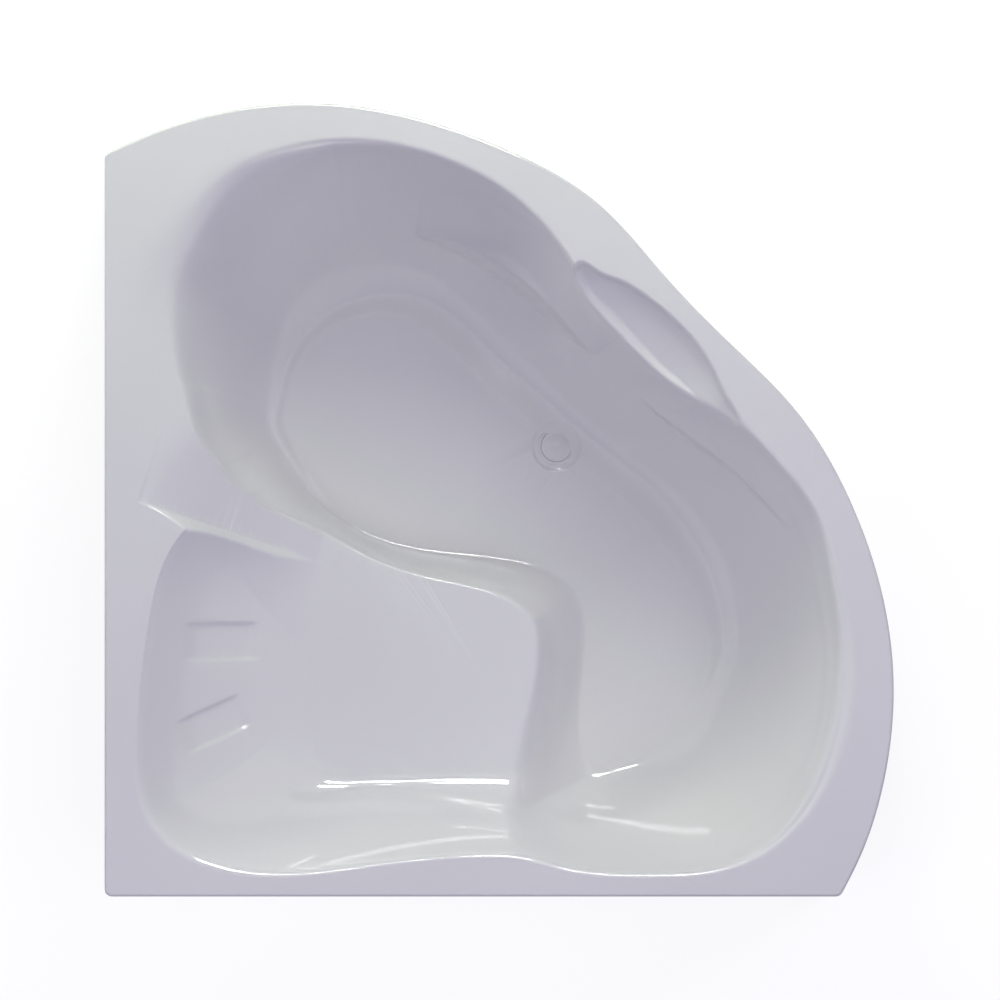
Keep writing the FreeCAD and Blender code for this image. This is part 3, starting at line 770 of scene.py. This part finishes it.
def acrylic_finish():
    """Gloss sanitary acrylic, white with a trace of green, slightly wavy."""
    finish = Finish("acrylic", Specular_IOR_Level=0.5, Coat_Weight=0.15, Coat_Roughness=0.03)
    finish.colours(finish.noise(2.2, 2), (0.3, (0.69, 0.692, 0.691)), (0.7, (0.715, 0.717, 0.716)))
    finish.roughness(finish.noise(7, 4), 0.035, 0.08)
    finish.bump(finish.noise(9, 1), 0.12, 0.0006)
    finish.bump(finish.noise(420, 1), 0.04, 0.00008)
    return finish.material


def laminate_finish():
    """Chopped glass fibre in resin: crossing strands, lumps and stains."""
    finish = Finish("laminate", Specular_IOR_Level=0.45)
    strands = finish.noise(38, 4, (1, 7, 3))
    crossing = finish.noise(38, 4, (7, 1, 3))
    both = finish.node("ShaderNodeMath", [(0, strands), (1, crossing)])
    both.operation = "MAXIMUM"
    lumps = finish.noise(14, 4)
    finish.colours(both.outputs[0], (0.42, (0.60, 0.60, 0.52)), (0.52, (0.70, 0.70, 0.63)),
                   (0.62, (0.80, 0.80, 0.76)), (0.75, (0.66, 0.66, 0.58)))
    finish.roughness(lumps, 0.3, 0.75)
    finish.bump(both.outputs[0], 0.5, 0.0022)
    finish.bump(lumps, 0.5, 0.005)
    return finish.material


def panel_finish():
    finish = Finish("panel_acrylic", Coat_Weight=0.1, Coat_Roughness=0.05)
    finish.colours(finish.noise(2.5, 3), (0.3, (0.68, 0.682, 0.68)), (0.7, (0.72, 0.722, 0.72)))
    finish.roughness(finish.noise(6, 4), 0.12, 0.22)
    finish.bump(finish.noise(5, 2), 0.2, 0.0015)
    return finish.material


def chipboard_finish():
    finish = Finish("chipboard")
    chips = finish.cells(210, (1, 1, 2.5))
    finish.colours(chips, (0.1, (0.30, 0.20, 0.11)), (0.45, (0.46, 0.33, 0.19)),
                   (0.8, (0.62, 0.48, 0.31)))
    finish.roughness(chips, 0.55, 0.85)
    finish.bump(chips, 0.6, 0.0006)
    return finish.material


def softwood_finish():
    finish = Finish("softwood")
    grain = finish.noise(22, 6, (1, 9, 9))
    finish.colours(grain, (0.3, (0.42, 0.27, 0.13)), (0.5, (0.62, 0.45, 0.26)),
                   (0.7, (0.72, 0.56, 0.36)))
    finish.roughness(grain, 0.5, 0.75)
    finish.bump(grain, 0.4, 0.0006)
    return finish.material


def zinc_finish(name, light, dark, low, high):
    """Zinc coated steel with its crystals."""
    finish = Finish(name, Metallic=0.9)
    finish.colours(finish.cells(120), (0.2, dark), (0.8, light))
    finish.roughness(finish.noise(30, 5), low, high)
    finish.bump(finish.noise(160, 3), 0.15, 0.0002)
    return finish.material


def plastic_finish(name, low_colour, high_colour, low, high, grain):
    finish = Finish(name)
    finish.colours(finish.noise(12, 4), (0.3, low_colour), (0.7, high_colour))
    finish.roughness(finish.noise(40, 4), low, high)
    finish.bump(finish.noise(grain, 2), 0.25, 0.0002)
    return finish.material


# --- Turned and cut pieces -----------------------------------------------------------------------
def turned(profile, place, sides=96, turn=0.0):
    """Places and faces turned about an upright axis from a profile of (radius, z)."""
    places, faces = [], []
    for radius, z in profile:
        for index in range(sides):
            angle = 2 * math.pi * index / sides + turn
            places.append((place[0] + radius * math.cos(angle),
                           place[1] + radius * math.sin(angle), z))
    for ring in range(len(profile) - 1):
        for index in range(sides):
            after = (index + 1) % sides
            low, high = ring * sides, (ring + 1) * sides
            faces.append((low + index, low + after, high + after, high + index))
    return places, faces


def arc_profile(centre_r, centre_z, radius, first, last, count=6):
    """Section places of a rounded edge, by angles in degrees from the outward way."""
    found = []
    for angle in np.radians(np.linspace(first, last, count)):
        found.append((centre_r + radius * math.cos(angle), centre_z + radius * math.sin(angle)))
    return found


def prism_places(sides, width, low, high, place, bevel, turn):
    """An upright bar with equal sides and bevelled ends."""
    corner = width / 2 / math.cos(math.pi / sides)
    profile = [(corner - bevel, low), (corner, low + bevel),
               (corner, high - bevel), (corner - bevel, high)]
    places, faces = turned(profile, place, sides, turn)
    faces.append(tuple(reversed(range(sides))))
    faces.append(tuple(range(3 * sides, 4 * sides)))
    return places, faces


def joined_piece(name, parts, body):
    """One object from several (places, faces, material), welded and smooth up to an angle."""
    smooth_angle = math.radians(40)
    mesh = bpy.data.meshes.new(name)
    places, faces, slots, materials = [], [], [], []
    for part_places, part_faces, material in parts:
        if material not in materials:
            materials.append(material)
        start = len(places)
        places += [tuple(p) for p in world(part_places)]
        faces += [tuple(start + i for i in f) for f in part_faces]
        slots += [materials.index(material)] * len(part_faces)
    mesh.from_pydata(places, [], faces)
    for material in materials:
        mesh.materials.append(material)
    mesh.polygons.foreach_set("material_index", slots)
    build = bmesh.new()
    build.from_mesh(mesh)
    bmesh.ops.remove_doubles(build, verts=build.verts, dist=1e-6)
    bmesh.ops.dissolve_degenerate(build, edges=build.edges, dist=1e-7)
    bmesh.ops.recalc_face_normals(build, faces=build.faces)
    for face in build.faces:
        face.smooth = True
    for edge in build.edges:
        if len(edge.link_faces) == 2 and edge.calc_face_angle(0) > smooth_angle:
            edge.smooth = False
    build.to_mesh(mesh)
    build.free()
    return new_piece(name, mesh, body)


def build_plug(white):
    """The white lifting plug: rounded disc, shallow dimple, square stem and its stop."""
    place = (drain_a, drain_b)
    low, top = plug_low.z / MM, plug_high.z / MM
    under = top - 4.0
    radius = (plug_high.x - plug_low.x) / 2 / MM
    section = [(0, top - 1.4), (3, top - 1.3), (5.5, top - 0.9), (7.5, top - 0.3),
               (9.5, top - 0.05), (radius - 6, top - 0.1), (radius - 5, top - 0.5),
               (radius - 4, top - 0.15)]
    section += arc_profile(radius - 1.8, top - 1.95, 1.8, 90, 0)
    section += [(radius, under + 0.6), (radius - 0.6, under), (0, under)]
    disc = turned(section, place)
    stem = prism_places(4, 8, low, under, place, 0.4, math.pi / 4)
    stop = prism_places(4, 12, low, low + 2.9, place, 0.6, math.pi / 4)
    parts = [(*disc, white), (*stem, white), (*stop, white)]
    piece = joined_piece("plug_cap", parts, "plug")
    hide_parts("plug")


def build_flange(white):
    """Flange, threaded tail and the guide for the plug's stem."""
    place = (drain_a, drain_b)
    box_low, box_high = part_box("waste_flange")
    low, top = box_low.z / MM, box_high.z / MM
    radius = (box_high.x - box_low.x) / 2 / MM
    section = [(20, low), (24, low)]
    z = low + 1
    while z < top - 8:
        section += [(23.2, z), (23.95, z + 1.0), (23.95, z + 1.4)]
        z += 2.4
    section += [(24, top - 4), (radius - 0.3, top - 2.95)]
    section += arc_profile(radius - 2.4, top - 2.4, 2.4, 0, 90)
    section += [(30.6, top - 0.05), (29.8, top - 0.3), (29.4, top - 1.2), (22, top - 1.6),
                (20, top - 3), (20, low)]
    body = turned(section, place)
    guide_low = low + 12.0
    spokes = []
    for turn in (0, math.pi / 2):
        bar = prism_places(4, 4, guide_low, guide_low + 12, (0, 0), 0.4, math.pi / 4)
        stretched = [(x * 9.9, y, z) for x, y, z in bar[0]]
        cos, sin = math.cos(turn), math.sin(turn)
        moved = [(place[0] + x * cos - y * sin, place[1] + x * sin + y * cos, z)
                 for x, y, z in stretched]
        spokes.append((moved, bar[1], white))
    piece = joined_piece("waste_flange_lip", [(*body, white)] + spokes, "bath")
    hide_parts("waste_flange")


def build_foot(name, pad_finish, steel):
    """A levelling foot: six-sided pad with a thin round sole, and a threaded stud."""
    low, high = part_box("foot_" + name)
    place = ((low.x + high.x) / 2 / MM - room_a, (low.y + high.y) / 2 / MM - room_b)
    top = high.z / MM
    turn = math.atan2(place[1] - hub_place[1], place[0] - hub_place[0])
    pad = prism_places(6, 50, 1.5, 12, place, 1.6, turn)
    sole = turned([(0, 0), (22, 0), (23, 0.5), (23, 1.6), (0, 1.6)], place, 48)
    hub = turned([(9.5, 12), (9.5, 14.5), (8.5, 15.5), (6, 15.5)], place, 32)
    section = [(5.85, 12)]
    z = 16.0
    while z < top - 3:
        section += [(5.2, z), (5.88, z + 0.75), (5.88, z + 1.0)]
        z += 1.75
    section += [(5.2, top - 1), (4.4, top), (0, top)]
    stud = turned(section, place, 32)
    parts = [(*pad, pad_finish), (*sole, pad_finish), (*hub, pad_finish), (*stud, steel)]
    piece = joined_piece("levelling_foot_" + name, parts, "foot_" + name)
    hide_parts("foot_" + name)


def finish_node(name, material, bevel):
    """A carried-over node gets its material, and small rounded edges where there is a bevel."""
    node = frame["nodes"][name]
    node.data.materials.clear()
    node.data.materials.append(material)
    weld = node.modifiers.new("weld", "WELD")
    weld.merge_threshold = 0.00002
    if bevel:
        edge = node.modifiers.new("edge", "BEVEL")
        edge.width = bevel * MM
        edge.segments = 2
        edge.limit_method = "ANGLE"
        edge.angle_limit = math.radians(50)
        edge.harden_normals = True


# --- Stage, light and camera ---------------------------------------------------------------------
aim_place = Vector((0, 0, 0.4))
lamp_distance = 3.2


def seen_by(tree, *rays):
    """1 for the kinds of ray named and 0 for the others."""
    path = tree.nodes.new("ShaderNodeLightPath")
    found = path.outputs[rays[0]]
    for ray in rays[1:]:
        either = tree.nodes.new("ShaderNodeMath")
        either.operation = "MAXIMUM"
        tree.links.new(found, either.inputs[0])
        tree.links.new(path.outputs[ray], either.inputs[1])
        found = either.outputs[0]
    return found


def floor_material():
    """Pale floor: white where nothing shades it, and it fades to plain white far out."""
    material = bpy.data.materials.new("pale_floor")
    material.use_nodes = True
    tree = material.node_tree
    nodes, links = tree.nodes, tree.links
    nodes.clear()
    out = nodes.new("ShaderNodeOutputMaterial")
    diffuse = nodes.new("ShaderNodeBsdfDiffuse")
    diffuse.inputs["Color"].default_value = (0.24, 0.24, 0.245, 1)
    glow = nodes.new("ShaderNodeEmission")
    glow.inputs["Color"].default_value = (1, 1, 1, 1)
    far = nodes.new("ShaderNodeEmission")
    far.inputs["Color"].default_value = (1, 1, 1, 1)
    seen = seen_by(tree, "Is Camera Ray", "Is Glossy Ray")
    strength = nodes.new("ShaderNodeMath")
    strength.operation = "MULTIPLY"
    strength.inputs[1].default_value = 0.86
    links.new(seen, strength.inputs[0])
    links.new(strength.outputs[0], glow.inputs["Strength"])
    links.new(seen, far.inputs["Strength"])
    both = nodes.new("ShaderNodeAddShader")
    links.new(diffuse.outputs[0], both.inputs[0])
    links.new(glow.outputs[0], both.inputs[1])
    place = nodes.new("ShaderNodeTexCoord")
    size = nodes.new("ShaderNodeVectorMath")
    size.operation = "LENGTH"
    links.new(place.outputs["Object"], size.inputs[0])
    fade = nodes.new("ShaderNodeMapRange")
    fade.inputs["From Min"].default_value = 1.3
    fade.inputs["From Max"].default_value = 3.0
    links.new(size.outputs["Value"], fade.inputs["Value"])
    mix = nodes.new("ShaderNodeMixShader")
    links.new(fade.outputs["Result"], mix.inputs["Fac"])
    links.new(both.outputs[0], mix.inputs[1])
    links.new(far.outputs[0], mix.inputs[2])
    links.new(mix.outputs[0], out.inputs["Surface"])
    return material


def build_floor():
    sides, reach = 64, 30.0
    angles = [2 * math.pi * i / sides for i in range(sides)]
    places = [(reach * math.cos(angle), reach * math.sin(angle), cad_low.z) for angle in angles]
    mesh = new_mesh("floor", places, [tuple(range(sides))])
    mesh.materials.append(floor_material())
    added("floor", mesh)


def build_world():
    world_shader = bpy.data.worlds.new("studio")
    bpy.context.scene.world = world_shader
    world_shader.use_nodes = True
    tree = world_shader.node_tree
    nodes, links = tree.nodes, tree.links
    nodes.clear()
    out = nodes.new("ShaderNodeOutputWorld")
    soft = nodes.new("ShaderNodeBackground")
    soft.inputs["Color"].default_value = (0.672, 0.598, 1.0, 1)
    soft.inputs["Strength"].default_value = 0.283
    white = nodes.new("ShaderNodeBackground")
    white.inputs["Color"].default_value = (1, 1, 1, 1)
    white.inputs["Strength"].default_value = 1.0
    seen = seen_by(tree, "Is Camera Ray", "Is Glossy Ray", "Is Transmission Ray")
    mix = nodes.new("ShaderNodeMixShader")
    links.new(seen, mix.inputs["Fac"])
    links.new(soft.outputs[0], mix.inputs[1])
    links.new(white.outputs[0], mix.inputs[2])
    links.new(mix.outputs[0], out.inputs["Surface"])


def build_camera():
    """Straight above the bath, so far that the walls show no perspective."""
    view_width = 1.8904             # metres across the picture at the deck
    height = 60.0                   # above the deck
    middle_x, middle_y = 0.00165, -0.00027
    camera_data = bpy.data.cameras.new("camera")
    camera_data.sensor_width = 36.0
    camera_data.lens = camera_data.sensor_width * height / view_width
    camera_data.clip_start, camera_data.clip_end = 1.0, 200.0
    camera = added("camera", camera_data)
    camera.location = (middle_x, middle_y, cad_high.z + height)
    bpy.context.scene.camera = camera


def studio_lamp(name, azimuth, elevation, size, power, colour):
    """A lamp aimed at the bath. Azimuth 0 is the top of the photograph and 90 its right."""
    light = bpy.data.lights.new(name, "AREA")
    light.shape = "RECTANGLE"
    light.size, light.size_y = size
    light.energy = power
    light.color = colour
    side, up = math.radians(azimuth), math.radians(elevation)
    way = Vector((math.sin(side) * math.cos(up), math.cos(side) * math.cos(up), math.sin(up)))
    lamp = added(name, light)
    lamp.location = way * lamp_distance + aim_place
    lamp.rotation_euler = (-way).to_track_quat("-Z", "Y").to_euler()
    return lamp


def soft_box(name, azimuth, elevation, power, colour):
    """A square soft light that is not itself mirrored in the gloss."""
    lamp = studio_lamp(name, azimuth, elevation, (1.2, 1.2), power, colour)
    lamp.visible_glossy = False


def strip_light(name, azimuth, elevation, length, power):
    """A thin light that only shows as a line in the gloss."""
    lamp = studio_lamp(name, azimuth, elevation, (length, 0.13), power, (1, 1, 1))
    lamp.visible_diffuse = False


def build_lights():
    soft_box("top", 180, 70, 20.0, (0.995, 0.998, 1.0))
    soft_box("key", 0, 30, 46.0, (0.9, 1.0, 0.76))
    soft_box("side", 72, 42, 18.0, (0.9, 0.82, 1.0))
    soft_box("fill", 228, 42, 9.0, (0.9, 0.84, 1.0))
    soft_box("low", 315, 12, 40.0, (0.947, 1.0, 0.851))
    strip_light("strip_high", 0, 42, 1.5, 70)
    strip_light("strip_low", 8, 33, 1.1, 60)


# --- All of it -----------------------------------------------------------------------------------
def build_all():
    acrylic = acrylic_finish()
    laminate = laminate_finish()
    white = plastic_finish("waste_white", (0.69, 0.69, 0.69), (0.73, 0.73, 0.73),
                           0.1, 0.2, 300)
    pipe = plastic_finish("trap_plastic", (0.74, 0.74, 0.72), (0.80, 0.80, 0.78),
                          0.3, 0.45, 260)
    pad = plastic_finish("foot_plastic", (0.018, 0.018, 0.02), (0.035, 0.035, 0.038),
                         0.4, 0.6, 500)
    rubber = plastic_finish("gasket_rubber", (0.015, 0.015, 0.015), (0.03, 0.03, 0.03),
                            0.6, 0.85, 400)
    zinc = zinc_finish("frame_steel", (0.62, 0.64, 0.66), (0.44, 0.46, 0.48), 0.28, 0.5)
    bright = zinc_finish("nut_steel", (0.74, 0.75, 0.76), (0.60, 0.61, 0.62), 0.16, 0.34)
    build_shell(acrylic, laminate)
    build_plug(white)
    build_flange(white)
    for name in ("left", "front_left", "front_right", "right", "corner"):
        build_foot(name, pad, bright)
        finish_node("frame_leg_" + name, zinc, 1.2)
    for name, material, bevel in (
            ("frame_hub", zinc, 1.0), ("front_panel", panel_finish(), 0),
            ("base_board", chipboard_finish(), 0.6), ("rim_blocks", softwood_finish(), 1.0),
            ("foot_nuts", bright, 0.6), ("wall_hooks", bright, 0.3), ("waste_gasket", rubber, 0),
            ("back_nut", pipe, 0.8), ("trap_body", pipe, 0.6), ("trap_union", pipe, 0.8),
            ("trap_cap", pipe, 1.2)):
        finish_node(name, material, bevel)


build_all()
build_floor()
build_world()
build_lights()
build_camera()
bpy.context.scene.view_settings.view_transform = "Standard"
